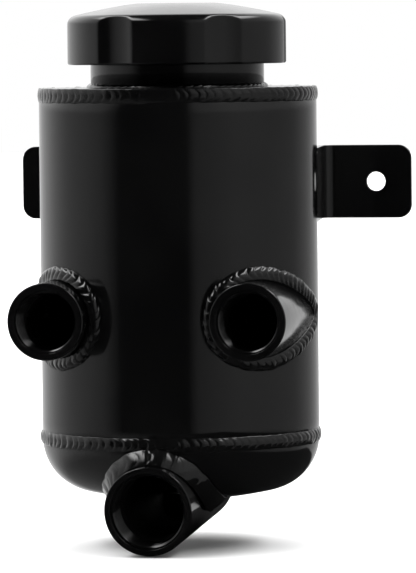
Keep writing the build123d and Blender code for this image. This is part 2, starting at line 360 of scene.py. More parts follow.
def rounded(corners, radii, steps=5):
    """A closed outline with each corner turned into an arc of its own radius."""
    outline = []
    count = len(corners)
    for index, (corner, radius) in enumerate(zip(corners, radii)):
        corner = Vector(corner)
        before = (Vector(corners[index - 1]) - corner).normalized()
        after = (Vector(corners[(index + 1) % count]) - corner).normalized()
        if radius == 0:
            outline.append(corner)
            continue
        half = before.angle(after) / 2
        centre = corner + (before + after).normalized() * (radius / math.sin(half))
        reach = radius / math.tan(half)
        start = (corner + before * reach - centre).normalized()
        end = (corner + after * reach - centre).normalized()
        for step in range(steps + 1):
            outline.append(centre + start.slerp(end, step / steps) * radius)
    return [(p.x, p.y) for p in outline]


def finer(outline, longest):
    """Add points to the long runs of a closed outline."""
    dense = []
    for index, (r, z) in enumerate(outline):
        after_r, after_z = outline[(index + 1) % len(outline)]
        parts = max(1, math.ceil(math.hypot(after_r - r, after_z - z) / longest))
        for part in range(parts):
            share = part / parts
            dense.append((r + (after_r - r) * share, z + (after_z - z) * share))
    return dense


def lathe_mesh(name, outline, segments=256):
    """Turn a closed outline of (radius, height) about the tank's axis."""
    angles = np.linspace(0, TAU, segments, endpoint=False)
    profile = np.array(outline)
    points = np.empty((len(profile), segments, 3))
    points[:, :, 0] = profile[:, :1] * np.cos(angles)
    points[:, :, 1] = AXIS_Y + profile[:, :1] * np.sin(angles)
    points[:, :, 2] = profile[:, 1:]
    return grid_mesh(name, points)


def cylinder_mesh(name, x, z, radius, y_low, y_high):
    """A closed cylinder along Y, used to cut holes."""
    segments = 192
    angles = np.linspace(0, TAU, segments, endpoint=False)
    rows = [(0, y_low), (radius, y_low), (radius, y_high), (0, y_high)]
    points = np.empty((4, segments, 3))
    for index, (r, y) in enumerate(rows):
        points[index, :, 0] = x + r * np.cos(angles)
        points[index, :, 1] = y
        points[index, :, 2] = z + r * np.sin(angles)
    return grid_mesh(name, points, close_rows=False)


def cut(mesh, *cutters):
    """The mesh with each cutter's volume taken away."""
    scene = bpy.context.scene
    target = bpy.data.objects.new("cut_target", mesh)
    scene.collection.objects.link(target)
    tools = []
    for cutter in cutters:
        tool = bpy.data.objects.new("cut_tool", cutter)
        scene.collection.objects.link(tool)
        modifier = target.modifiers.new("cut", "BOOLEAN")
        modifier.operation = "DIFFERENCE"
        modifier.solver = "EXACT"
        modifier.object = tool
        tools.append(tool)
    depsgraph = bpy.context.evaluated_depsgraph_get()
    result = bpy.data.meshes.new_from_object(target.evaluated_get(depsgraph))
    for made in (target, *tools):
        bpy.data.objects.remove(made)
    result.name = mesh.name
    result.set_sharp_from_angle(angle=math.radians(35))
    return result


def mirrored(mesh):
    """The left-hand twin of a right-hand mesh."""
    mesh.transform(Matrix.Scale(-1, 4, (1, 0, 0)))
    mesh.flip_normals()
    return mesh


def smooth_min(a, b, width):
    """The smaller of two values, with the change between them rounded off."""
    blend = np.clip(0.5 + 0.5 * (b - a) / width, 0, 1)
    return b * (1 - blend) + a * blend - width * blend * (1 - blend)


def thread_height(angles, z, start, turns):
    """How much of a ridge's full height a helical thread has at each angle, at height z."""
    fade = 0.3
    height = np.zeros_like(angles)
    for turn in range(math.ceil(turns) + 1):
        run = angles + TAU * turn
        off = np.abs(z - (start + THREAD_LEAD * run / TAU))
        flank = (THREAD_ROOT_WIDTH - THREAD_CREST_WIDTH) / 2
        ridge = np.clip((THREAD_ROOT_WIDTH / 2 - off) / flank, 0, 1)
        ends = np.clip(run / fade, 0, 1) * np.clip((TAU * turns - run) / fade, 0, 1)
        height = np.maximum(height, ridge * ends)
    return height


# Tank shell

def dish_outline(inset):
    """Points down the dish's side to its centre, from the seam, moved inwards by inset."""
    knuckle_x = TANK_R - KNUCKLE_R
    knuckle_z = SEAM_Z - DISH_STRAIGHT
    drop = knuckle_z - DISH_Z
    crown_r = (drop**2 + knuckle_x**2 - KNUCKLE_R**2) / (2 * (drop - KNUCKLE_R))
    crown_z = DISH_Z + crown_r
    tilt = math.atan2(knuckle_x, crown_z - knuckle_z)
    outline = [(TANK_R - inset, SEAM_Z), (TANK_R - inset, SEAM_Z - DISH_STRAIGHT / 2)]
    for angle in np.linspace(0, math.pi / 2 - tilt, 24):
        r = KNUCKLE_R - inset
        outline.append((knuckle_x + r * math.cos(angle), knuckle_z - r * math.sin(angle)))
    for angle in np.linspace(tilt, 0, 30)[1:]:
        r = crown_r - inset
        outline.append((r * math.sin(angle), crown_z - r * math.cos(angle)))
    return outline


def lined(shell):
    """Give the faces of a shell that look towards the tank's middle their rougher finish."""
    mesh = shell.data
    mesh.materials.append(COATED_INSIDE)
    middle = Vector((0, AXIS_Y, SEAM_Z + 10 * MM))
    for face in mesh.polygons:
        across = middle - face.center
        if abs(face.normal.z) < 0.1:
            across.z = 0
        if face.normal.dot(across) > 0:
            face.material_index = 1
    return shell


def tank_tube():
    inner, top = TANK_R - WALL, RIM_Z - PLATE
    corners = [(inner, SEAM_Z), (TANK_R, SEAM_Z), (TANK_R, top), (inner, top)]
    mesh = lathe_mesh("tank_tube_look", finer(corners, 6 * MM), 320)
    front = AXIS_Y - TANK_R - WALL
    holes = [
        cylinder_mesh("hole", side * RETURN_X, RETURN_Z, TANK_HOLE_R, front, AXIS_Y)
        for side in (-1, 1)
    ]
    return lined(piece("tank_tube_look", "tank_tube", cut(mesh, *holes), COATED))


def top_plate():
    edge = TANK_R - 0.5 * MM
    corners = [
        (NECK_BORE_R, RIM_Z - PLATE), (edge, RIM_Z - PLATE), (edge, RIM_Z), (NECK_BORE_R, RIM_Z),
    ]
    outline = rounded(corners, [0.3 * MM, 0.3 * MM, 0.6 * MM, 0.3 * MM])
    return piece("top_plate_look", "top_plate", lathe_mesh("top_plate_look", outline), COATED)


def bottom_dish():
    outline = dish_outline(0) + dish_outline(WALL)[::-1]
    mesh = lathe_mesh("bottom_dish_look", outline, 320)
    slot = cylinder_mesh("slot", 0, 0, OUTLET_R, 0, OUTLET_LENGTH)
    slot.transform(OUTLET_PLACE)
    return lined(piece("bottom_dish_look", "bottom_dish", cut(mesh, slot), COATED))


# Filler neck and cap

def neck_rows():
    """Outline of the neck, from its foot up the outside and down the bore."""
    shoulder = RIM_Z + NECK_SHOULDER
    chamfer, lead = 0.4 * MM, 0.6 * MM
    rows = [(NECK_R, RIM_Z), (NECK_R, shoulder - 1.0 * MM), (NECK_R - chamfer, shoulder)]
    threaded = np.arange(shoulder + THREAD_ROW, NECK_TOP - lead, THREAD_ROW)
    rows += [(NECK_ROOT_R, z) for z in threaded]
    rows += [(NECK_ROOT_R - lead, NECK_TOP), (NECK_BORE_R + chamfer, NECK_TOP)]
    rows += [(NECK_BORE_R, NECK_TOP - chamfer), (NECK_BORE_R, RIM_Z)]
    return rows


def filler_neck():
    angles = np.linspace(0, TAU, 288, endpoint=False)
    rows = neck_rows()
    points = np.empty((len(rows), len(angles), 3))
    for index, (r, z) in enumerate(rows):
        radius = np.full_like(angles, r)
        if r == NECK_ROOT_R:
            ridge = thread_height(angles, z, NECK_THREAD_START, NECK_THREAD_TURNS)
            radius += ridge * (NECK_CREST_R - NECK_ROOT_R)
        points[index, :, 0] = radius * np.cos(angles)
        points[index, :, 1] = AXIS_Y + radius * np.sin(angles)
        points[index, :, 2] = z
    return piece("filler_neck_look", "filler_neck", grid_mesh("filler_neck_look", points), TURNED)


def cap_rim(angles):
    """The cap's outer radius at each angle, with its scallops."""
    blend = 0.5 * MM
    reach = CAP_R - SCALLOP_DEPTH + SCALLOP_R
    rim = np.full_like(angles, CAP_R)
    for index in range(SCALLOP_COUNT):
        off = angles - SCALLOP_ANGLE - TAU * index / SCALLOP_COUNT
        across = reach * np.sin(off)
        hit = (np.abs(across) < SCALLOP_R) & (np.cos(off) > 0)
        near = reach * np.cos(off) - np.sqrt(np.maximum(SCALLOP_R**2 - across**2, 0))
        rim = smooth_min(rim, np.where(hit, near, 2 * CAP_R), blend)
    return rim


def cap_outside():
    """Outline of the cap's outside, from the middle of its top to its lower edge."""
    flat, drop = CAP_FLAT_R, CAP_SHOULDER_DROP
    shoulder = CAP_R - CAP_SHOULDER_IN
    rows = [(r, CAP_TOP) for r in np.linspace(0, flat, 6)]
    for r in np.linspace(flat, shoulder, 40)[1:]:
        share = (r - flat) / (shoulder - flat)
        rows.append((r, CAP_TOP - drop * share**CAP_DOME_POWER))
    start = Vector((shoulder, CAP_TOP - drop))
    lean = Vector((shoulder + 1.9 * MM, CAP_TOP - drop - 0.44 * MM))
    side = Vector((CAP_R, CAP_TOP - 5.9 * MM))
    end = Vector((CAP_R, CAP_TOP - CAP_SIDE_DROP))
    for t in np.linspace(0, 1, 29)[1:]:
        near = start * (1 - t) ** 3 + lean * 3 * t * (1 - t) ** 2
        point = near + side * 3 * t**2 * (1 - t) + end * t**3
        rows.append((point.x, point.y))
    low = CAP_BASE + CAP_EDGE
    rows += [(CAP_R, z) for z in np.linspace(CAP_TOP - CAP_SIDE_DROP, low, 10)[1:]]
    for turn in np.linspace(0, math.pi / 2, 5)[1:]:
        r = CAP_R - CAP_EDGE * (1 - math.cos(turn))
        rows.append((r, CAP_BASE + CAP_EDGE * (1 - math.sin(turn))))
    return rows


def cap_inside():
    """Outline of the cap's inside, from its lower edge to the middle of its ceiling."""
    lip = 0.6 * MM
    rows = [(CAP_BORE_R + lip, CAP_BASE), (CAP_BORE_R, CAP_BASE + lip)]
    rows += [(CAP_BORE_R, z) for z in np.arange(CAP_BASE + CAP_EDGE, CAP_CEILING, THREAD_ROW)]
    rows += [(CAP_BORE_R, CAP_CEILING), (CAP_BORE_R / 2, CAP_CEILING), (0, CAP_CEILING)]
    return rows


def filler_cap():
    angles = np.linspace(0, TAU, 576, endpoint=False)
    rim = cap_rim(angles)
    outside, inside = cap_outside(), cap_inside()
    points = np.empty((len(outside) + len(inside), len(angles), 3))
    for index, (r, z) in enumerate(outside + inside):
        if index >= len(outside):
            radius = np.full_like(angles, r)
            if r == CAP_BORE_R:
                ridge = thread_height(angles, z, CAP_THREAD_START, CAP_THREAD_TURNS)
                radius -= ridge * (CAP_BORE_R - CAP_CREST_R)
        elif z < CAP_TOP - CAP_SIDE_DROP:
            radius = rim - (CAP_R - r)
        else:
            # The scallops' edge is soft on the dome and sharpens towards the cap's side
            soft = 0.1 * MM + 0.9 * min(CAP_R - r, 1 * MM)
            radius = smooth_min(np.full_like(angles, r), rim, soft)
            radius = np.where(r < CAP_R - 2 * SCALLOP_DEPTH, r, radius)
        points[index, :, 0] = radius * np.cos(angles)
        points[index, :, 1] = AXIS_Y + radius * np.sin(angles)
        points[index, :, 2] = z
    mesh = grid_mesh("filler_cap_look", points, close_rows=False)
    return piece("filler_cap_look", "filler_cap", mesh, TURNED, body="cap")


def cap_gasket():
    low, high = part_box("cap_gasket")
    outer, inner = (high.x - low.x) / 2, GASKET_BORE_R
    corners = [(inner, low.z), (outer, low.z), (outer, high.z), (inner, high.z)]
    mesh = lathe_mesh("cap_gasket_look", rounded(corners, [0.4 * MM] * 4), 192)
    return piece(
        "cap_gasket_look", "cap_gasket", mesh, RUBBER, body="seal"
    )


# Ports

def port_mesh(name, radius, bore_r, pitch, back):
    """A port tube along +Y from its mouth's centre; back gives the Y of its rear edge at x."""
    angles = np.linspace(0, TAU, 144, endpoint=False)
    root_r = bore_r + 0.44 * pitch
    seat_r = root_r + 0.35 * MM
    bevel, lip = 0.5 * MM, 0.12 * MM
    rows_per_turn = 12
    rows = [(radius, None)]
    rows += [(radius, y) for y in np.linspace(4 * MM, bevel, 4)]
    for turn in np.linspace(0, math.pi / 2, 4)[1:]:
        rows.append((radius - bevel * (1 - math.cos(turn)), bevel * (1 - math.sin(turn))))
    rows += [(seat_r + lip, 0), (seat_r, lip)]
    rows += [(root_r, y) for y in np.arange(SEAT_DEPTH, THREAD_DEPTH, pitch / rows_per_turn)]
    lead_r = bore_r - LEAD_HOLE_STEP
    rows += [(lead_r, THREAD_DEPTH + LEAD_HOLE_STEP), (lead_r, None)]
    points = np.empty((len(rows), len(angles), 3))
    for index, (r, y) in enumerate(rows):
        ring = np.full_like(angles, r)
        if r == root_r:
            phase = ((y - SEAT_DEPTH) / pitch + angles / TAU) % 1
            crest = np.clip(1.15 - 2.9 * np.abs(phase - 0.5), 0, 1)
            fade = np.clip((y - SEAT_DEPTH) / (0.6 * pitch), 0, 1)
            ring = root_r - (root_r - bore_r) * crest * fade
        points[index, :, 0] = ring * np.cos(angles)
        points[index, :, 2] = ring * np.sin(angles)
        points[index, :, 1] = back(points[index, :, 0]) if y is None else y
    return grid_mesh(name, points)


def on_tank(x):
    """Y of the tank's front surface at x."""
    return AXIS_Y - np.sqrt(np.maximum(TANK_R**2 - np.minimum(np.abs(x), TANK_R) ** 2, 0))


def return_port(side):
    name = "right_port" if side > 0 else "left_port"
    mesh = port_mesh(
        f"{name}_look", RETURN_R, RETURN_BORE_R, RETURN_PITCH,
        lambda x: on_tank(x + RETURN_X) - PORT_FACE_Y,
    )
    mesh.transform(Matrix.Translation((RETURN_X, PORT_FACE_Y, RETURN_Z)))
    if side < 0:
        mesh = mirrored(mesh)
    return piece(f"{name}_look", name, mesh, TURNED_PORT)


def outlet_port():
    mesh = port_mesh(
        "outlet_port_look", OUTLET_R, OUTLET_BORE_R, OUTLET_PITCH,
        lambda x: np.full_like(x, OUTLET_LENGTH),
    )
    mesh.transform(OUTLET_PLACE)
    inside = [(0, SEAM_Z)] + [(r, z) for r, z in dish_outline(WALL)]
    hollow = lathe_mesh("hollow", inside, 256)
    made = piece("outlet_port_look", "outlet_port", cut(mesh, hollow), TURNED_PORT)
    made.data.materials.append(COATED_INSIDE)
    to_mouth = OUTLET_PLACE.inverted()
    for face in made.data.polygons:
        local = to_mouth @ face.center
        if local.y > THREAD_DEPTH and math.hypot(local.x, local.z) < OUTLET_BORE_R:
            face.material_index = 1
    return made


# Weld beads

def resampled(path, step, closed):
    """Points at about even steps along a line of points."""
    path = np.asarray(path)
    if closed:
        path = np.vstack([path, path[:1]])
    lengths = np.concatenate([[0], np.cumsum(np.linalg.norm(np.diff(path, axis=0), axis=1))])
    count = max(8, round(lengths[-1] / step))
    stops = np.linspace(0, lengths[-1], count, endpoint=not closed)
    return np.stack([np.interp(stops, lengths, path[:, k]) for k in range(3)], axis=1)


def unit(vectors):
    """The same directions, each one long."""
    return vectors / np.maximum(np.linalg.norm(vectors, axis=-1, keepdims=True), 1e-12)


def tangents(path, closed):
    """The direction of travel at each point of a line."""
    if closed:
        return unit(np.roll(path, -1, axis=0) - np.roll(path, 1, axis=0))
    return unit(np.gradient(path, axis=0))


def smoothed(directions, reach=20):
    """Directions along an open line, each averaged with reach neighbours on both sides."""
    first, last = directions[:1], directions[-1:]
    padded = np.vstack([np.repeat(first, reach, 0), directions, np.repeat(last, reach, 0)])
    share = np.ones(2 * reach + 1) / (2 * reach + 1)
    return unit(np.stack([np.convolve(padded[:, k], share, "valid") for k in range(3)], axis=1))


def ripple_steps(length, pitch, rng):
    """Where each ripple of a bead begins, unevenly, so that they fill its length."""
    count = max(3, round(length / pitch))
    steps = np.cumsum(rng.uniform(0.8, 1.2, count))
    return np.concatenate([[0], steps / steps[-1] * length])


def wander(travel, length, rng):
    """A slow uneven swing along a bead, the same at its start and its end."""
    waves = [
        np.sin(TAU * (round(length / pitch) * travel / length + rng.uniform()))
        for pitch in (19 * MM, 8.5 * MM, 5 * MM)
    ]
    return sum(waves) / 2


def bead_mesh(
    name, root, foot, head, outward, swell, seed, closed, pitch=RIPPLE, height=0.4 * MM
):
    """A rippled weld bead: it runs along root and spans from foot to head, swelling outwards.

    root, foot and head are tables of points along the bead, and outward is one of directions.
    pitch and height are the ripples' own."""
    bow = 0.8 * pitch
    end_length = 1.2 * MM
    rng = np.random.default_rng(seed)
    travel = np.concatenate([[0], np.cumsum(np.linalg.norm(np.diff(root, axis=0), axis=1))])
    length = travel[-1] + (np.linalg.norm(root[0] - root[-1]) if closed else 0)
    starts = ripple_steps(length, pitch, rng)
    sizes = rng.uniform(0.55, 1.2, len(starts))
    sways = rng.uniform(-0.025, 0.025, len(starts))
    fuller = 1 + 0.15 * wander(travel, length, rng)
    wider = 1 + 0.035 * wander(travel, length, rng)[:, None]
    taper = np.ones(len(root))
    if not closed:
        ends = np.minimum(travel, length - travel)
        taper = np.sqrt(np.clip(ends / end_length, 0, 1))
    section = []
    for t in np.linspace(0, 1, 17):
        along = travel + (2 * t - 1) ** 2 * bow
        along = along % length if closed else np.clip(along, 0, length * 0.9999)
        index = np.searchsorted(starts, along, side="right") - 1
        after = starts[np.minimum(index + 1, len(starts) - 1)]
        share = np.clip((along - starts[index]) / (after - starts[index]), 0, 1)
        dome = 1 - np.abs(2 * share**0.75 - 1) ** 2.4
        arch = math.sin(math.pi * t)
        rise = height * sizes[index] * (dome - 0.5) * min(1, 1.8 * arch)
        lift = swell * arch * fuller + rise
        mix = t + sways[index] * arch
        base = foot * (1 - mix)[:, None] + head * mix[:, None]
        proud = (base - root) * wider + outward * lift[:, None]
        section.append(root + proud * taper[:, None])
    section.append(root + (head - root) * 0.5 * taper[:, None] - outward * BURIED / 2)
    section.append(root - outward * BURIED)
    section.append(root + (foot - root) * 0.5 * taper[:, None] - outward * BURIED / 2)
    points = np.stack(section)
    if closed:
        return grid_mesh(name, points)
    tips = points.mean(axis=0, keepdims=True)
    points[:, 0] = tips[:, 0]
    points[:, -1] = tips[:, -1]
    return grid_mesh(name, points, close_columns=False)


def bead(name, mesh):
    """A weld bead piece that stands for the CAD node of the same name."""
    return piece(f"{name}_look", name, mesh, COATED_WELD, weighted=False)


def around(radius, z):
    """Points round the tank's axis, and the outward directions there."""
    step = 0.22 * MM
    count = round(TAU * radius / step)
    angles = np.linspace(0, TAU, count, endpoint=False)
    out = np.stack([np.cos(angles), np.sin(angles), np.zeros(count)], axis=1)
    return out * radius + np.array([0, AXIS_Y, z]), out


def seam_bead(name, z, proud, ripple, seed):
    """The bead round one of the tank's seams."""
    ring, out = around(TANK_R, z)
    up = np.array([0, 0, SEAM_HALF])
    mesh = bead_mesh(
        f"{name}_look", ring - out * 0.3 * MM, ring - up, ring + up, out, swell=proud,
        seed=seed, closed=True, pitch=SEAM_RIPPLE, height=ripple,
    )
    return bead(name, mesh)


def neck_weld():
    ring, out = around(NECK_R, RIM_Z)
    up = np.array([0, 0, 1.0])
    lean = unit(out + up)
    mesh = bead_mesh(
        "neck_weld_look", ring, ring + out * NECK_WELD_LEG, ring + up * NECK_WELD_LEG,
        lean, swell=0.2 * MM, seed=5, closed=True, pitch=NECK_RIPPLE, height=0.18 * MM,
    )
    return bead("neck_weld", mesh)


def return_port_weld(side, seed):
    """The bead where a return port's tube meets the round side of the tank."""
    angles = np.linspace(0, TAU, 2000, endpoint=False)
    x = RETURN_X + RETURN_R * np.cos(angles)
    path = np.stack([x, on_tank(x), RETURN_Z + RETURN_R * np.sin(angles)], axis=1)
    root = resampled(path, 0.2 * MM, closed=True)
    along = tangents(root, closed=True)
    centre = np.array([0, AXIS_Y, 0])
    tank_out = unit((root - centre) * np.array([1, 1, 0]))
    tube_out = unit((root - np.array([RETURN_X, 0, RETURN_Z])) * np.array([1, 0, 1]))
    across_tank = unit(np.cross(along, tank_out))
    across_tube = unit(np.cross(tube_out, along))
    foot = root + across_tank * PORT_WELD_LEG
    flat = (foot - centre) * np.array([1, 1, 0])
    foot = unit(flat) * TANK_R + centre + foot * np.array([0, 0, 1])
    inboard = (1 - (root[:, :1] - RETURN_X) / RETURN_R) / 2
    head = root + across_tube * (0.5 * MM + PORT_WELD_CLIMB * inboard)
    outward = unit(tank_out + tube_out)
    name = "right_port_weld" if side > 0 else "left_port_weld"
    mesh = bead_mesh(
        f"{name}_look", root, foot, head, outward, swell=1.0 * MM, seed=seed, closed=True
    )
    if side < 0:
        mesh = mirrored(mesh)
    return bead(name, mesh)


def dish_radius(z):
    """The dish's outer radius at height z."""
    outline = np.array(dish_outline(0))[::-1]
    return np.interp(z, outline[:, 1], outline[:, 0])


def outlet_path():
    """Where the outlet's leaning tube enters the dish, from its back left to its back right."""
    turn = np.array(OUTLET_PLACE.to_3x3())
    mouth = np.array(OUTLET_PLACE.translation)
    runs = np.linspace(0, OUTLET_LENGTH, 1500)
    found = []
    for angle in np.linspace(-0.5 * math.pi, 0.5 * math.pi, 1201):
        ring = np.array([OUTLET_R * math.sin(angle), 0, OUTLET_R * math.cos(angle)])
        line = mouth + (ring + np.outer(runs, [0, 1, 0])) @ turn.T
        radius = np.hypot(line[:, 0], line[:, 1] - AXIS_Y)
        inside = (radius < dish_radius(line[:, 2])) & (line[:, 2] > DISH_Z)
        if inside.any():
            found.append((line[np.argmax(inside)], line[-1]))
    path = [point for point, _ in found]
    return np.vstack([found[0][1], *path, found[-1][1]])


def outlet_weld():
    root = resampled(outlet_path(), 0.25 * MM, closed=False)
    turn = np.array(OUTLET_PLACE.to_3x3())
    local = (root - np.array(OUTLET_PLACE.translation)) @ turn
    tube_out = unit(local * np.array([1, 0, 1])) @ turn.T
    dish_out = smoothed(dish_normal(root))
    along = smoothed(tangents(root, closed=False))
    across_dish = unit(np.cross(dish_out, along))
    across_tube = unit(np.cross(along, tube_out))
    foot = root + across_dish * OUTLET_WELD_LEG
    head = root + across_tube * OUTLET_WELD_CLIMB
    mesh = bead_mesh(
        "outlet_weld_look", root, foot, head, unit(tube_out + dish_out), swell=0.3 * MM,
        seed=23, closed=False, pitch=SEAM_RIPPLE, height=0.15 * MM,
    )
    return bead("outlet_weld", mesh)


def dish_normal(points):
    """Outward directions of the dish's surface at points on it."""
    flat = (points - np.array([0, AXIS_Y, 0])) * np.array([1, 1, 0])
    radius = np.linalg.norm(flat, axis=1, keepdims=True)
    knuckle_x, knuckle_z = TANK_R - KNUCKLE_R, SEAM_Z - DISH_STRAIGHT
    side = np.maximum(radius - knuckle_x, 0.02 * knuckle_x)
    drop = np.maximum(knuckle_z - points[:, 2:], 0)
    return unit(flat / np.maximum(radius, 1e-6) * side + np.array([0, 0, -1.0]) * drop)


def end_plate_weld():
    """The bead under the dish, behind the plate that closes the outlet tube."""
    plate_low, plate_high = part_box("outlet_end_plate")
    half = (plate_high.x - plate_low.x) / 2 - 0.6 * MM
    x = np.linspace(-half, half, round(2 * half / (0.2 * MM)))
    crown = DISH_Z + 2.2 * MM * (x / half) ** 2
    root = np.stack([x, np.full_like(x, plate_high.y), crown], axis=1)
    back, down = np.array([0, 1.0, 0]), np.array([0, 0, -1.0])
    lean = np.tile(unit(back + down), (len(x), 1))
    mesh = bead_mesh(
        "end_plate_weld_look", root, root + back * 3.4 * MM, root + down * 2.6 * MM,
        lean, swell=0.4 * MM, seed=31, closed=False,
    )
    return bead("end_plate_weld", mesh)


def bracket_weld(side, seed):
    """The low upright bead where a bracket's leg meets the tank's side."""
    name = "right_bracket_weld" if side > 0 else "left_bracket_weld"
    half = STRAP_HEIGHT / 2 - 0.4 * MM
    z = np.linspace(-half, half, round(2 * half / (0.2 * MM)))
    angle = LEG_ANGLE + math.acos(LEG_OFFSET / TANK_R)
    out = np.array([math.cos(angle), math.sin(angle), 0])
    front = np.array([math.sin(angle), -math.cos(angle), 0])
    leg = np.array([-math.sin(LEG_ANGLE), math.cos(LEG_ANGLE), 0])
    corner = np.array([0, AXIS_Y, 0]) + out * TANK_R
    root = corner + np.outer(z, [0, 0, 1.0]) - out * 0.2 * MM
    lean = np.tile(out, (len(z), 1))
    mesh = bead_mesh(
        f"{name}_look", root, root + front * BRACKET_WELD_HALF, root + leg * BRACKET_WELD_HALF,
        lean, swell=0.55 * MM, seed=seed, closed=False, pitch=BRACKET_RIPPLE, height=0.25 * MM,
    )
    if side < 0:
        mesh = mirrored(mesh)
    return bead(name, mesh)


# Brackets

def bracket_path():
    """How far back the leg runs before the bend, the bend's length, the ear's, and its centre."""
    centre_y = EAR_BACK_Y - STRAP - BEND_R - AXIS_Y
    centre_x = (LEG_OFFSET + BEND_R - centre_y * math.sin(LEG_ANGLE)) / math.cos(LEG_ANGLE)
    leg = centre_y * math.cos(LEG_ANGLE) - centre_x * math.sin(LEG_ANGLE)
    bend = (BEND_R + STRAP / 2) * (math.pi / 2 + LEG_ANGLE)
    ear = EAR_END_X - centre_x
    return leg, bend, ear, (centre_x, centre_y)


def on_bracket(s, depth):
    """Plan position on the strap, s along it and depth out from its tank side."""
    leg, bend, ear, (centre_x, centre_y) = bracket_path()
    if s < leg:
        offset = LEG_OFFSET - STRAP + depth
        run = max(s, math.sqrt(TANK_R**2 - offset**2))
        return (
            offset * math.cos(LEG_ANGLE) - run * math.sin(LEG_ANGLE),
            offset * math.sin(LEG_ANGLE) + run * math.cos(LEG_ANGLE),
        )
    radius = BEND_R + STRAP - depth
    if s < leg + bend:
        angle = math.pi + LEG_ANGLE - (s - leg) / (BEND_R + STRAP / 2)
        return centre_x + radius * math.cos(angle), centre_y + radius * math.sin(angle)
    return centre_x + s - leg - bend, centre_y + radius


def flat_strap(start, length, hole_s):
    """The strap before it is bent: a rounded strip with a hole and softened edges."""
    soft = 0.25 * MM
    half = STRAP_HEIGHT / 2
    curve = bpy.data.curves.new("strap", "CURVE")
    curve.dimensions = "2D"
    curve.fill_mode = "BOTH"
    curve.extrude = STRAP / 2 - soft
    curve.bevel_depth = soft
    curve.bevel_resolution = 3
    curve.offset = -soft
    corners = [(start, -half), (length, -half), (length, half), (start, half)]
    radii = [0, EAR_CORNER_R, EAR_CORNER_R, 0]
    ring = np.linspace(0, TAU, 64, endpoint=False)
    hole = [(hole_s + HOLE_R * math.cos(a), -HOLE_R * math.sin(a)) for a in ring]
    for outline in (rounded(corners, radii, 10), hole):
        spline = curve.splines.new("POLY")
        spline.points.add(len(outline) - 1)
        for point, (s, z) in zip(spline.points, outline):
            point.co = (s, z, 0, 1)
        spline.use_cyclic_u = True
    holder = bpy.data.objects.new("strap", curve)
    bpy.context.scene.collection.objects.link(holder)
    depsgraph = bpy.context.evaluated_depsgraph_get()
    mesh = bpy.data.meshes.new_from_object(holder.evaluated_get(depsgraph))
    bpy.data.objects.remove(holder)
    return mesh


def bracket(side):
    name = "right_bracket" if side > 0 else "left_bracket"
    leg, bend, ear, _ = bracket_path()
    length = leg + bend + ear
    start = math.sqrt(TANK_R**2 - LEG_OFFSET**2)
    flat = flat_strap(start, length, length - (EAR_END_X - HOLE_X))
    work = bmesh.new()
    work.from_mesh(flat)
    cuts = np.concatenate([
        np.linspace(start + 1 * MM, leg, 24), np.linspace(leg, leg + bend, 17)[1:],
    ])
    for s in cuts:
        everything = list(work.verts) + list(work.edges) + list(work.faces)
        bmesh.ops.bisect_plane(work, geom=everything, plane_co=(s, 0, 0), plane_no=(1, 0, 0))
    for vert in work.verts:
        x, y = on_bracket(vert.co.x, vert.co.z + STRAP / 2)
        vert.co = (x, AXIS_Y + y, vert.co.y)
    mesh = cleaned(work, f"{name}_look")
    mesh.set_sharp_from_angle(angle=math.radians(40))
    if side < 0:
        mesh = mirrored(mesh)
    return piece(f"{name}_look", name, mesh, COATED)


# The object

tank_tube()
top_plate()
bottom_dish()
filler_neck()
filler_cap()
cap_gasket()
outlet_port()
for side in (1, -1):
    return_port(side)
    return_port_weld(side, seed=11 + side)
    bracket(side)
    bracket_weld(side, seed=41 + side)
seam_bead("top_seam_weld", RIM_Z - SEAM_HALF, TOP_SEAM_PROUD, ripple=0.2 * MM, seed=3)
seam_bead("bottom_seam_weld", SEAM_Z, BOTTOM_SEAM_PROUD, ripple=0.26 * MM, seed=4)
neck_weld()
outlet_weld()
end_plate_weld()

CARRIED_OVER = {
    "outlet_end_plate": COATED_INSIDE,
    "gasket_plate": ALUMINIUM,
    "plate_rivet": ALUMINIUM,
    "baffle_plate": ALUMINIUM,
    "baffle_tacks": ALUMINIUM,
}
for name, material in CARRIED_OVER.items():
    shown = frame["nodes"][name]
    shown.data.materials.clear()
    shown.data.materials.append(material)


# Stage: floor, light, a dark sheet of painted shade seen only in reflections, and camera

CAMERA_AZIMUTH = math.radians(12.0)
CAMERA_ELEVATION = math.radians(2.93)
CAMERA_DISTANCE = 1.760
CAMERA_LENS = 301.7
CAMERA_ROLL = math.radians(-0.6)
AIM_RIGHT = 0.0104
AIM_UP = 0.0541

FLOOR_GAP = 0.0005
# Place and size of the dark sheet of painted shade under the object, which shows only in
# reflections
SHADE_CARD_GAP = 0.0004
SHADE_CARD_HALF_SIZE = (0.085, 0.14)
SHADE_CARD_X = 0.062
SHADE_CARD_Y = -0.012
SKY_STRENGTH = 4.2
SKY_SOFTNESS = math.radians(80)
SKY_TURN = (math.radians(-22), math.radians(-8), 0)

# What the coating mirrors. Levels go round by degrees from the camera's side; edges are the
# heights, or for the strips the distances to the side, between which one level fades to another.
WALL_LEVELS = [
    (-180, 1.0), (-135, 0.95), (-105, 0.6), (-80, 0.45), (-66, 0.32), (-50, 0.014), (7, 0.014),
    (15, 0.24), (50, 0.4), (110, 0.31), (135, 0.47), (165, 0.78), (180, 1.0),
]
GROUND_LEVELS = [(-180, 0.3), (-60, 0.25), (-15, 0.04), (120, 0.03), (172, 0.03), (180, 0.3)]
GROUND_EDGE = (-0.2, -0.5)
OVERHEAD_EDGE = (0.6, 0.85)
STRIP_EDGE = (0.36, 0.52)
STRIP_LEVELS = (0.03, 5.0)
UPPER_EDGE = (0.06, 0.3)
UPPER_STRENGTHS = (1.0, 1.5)


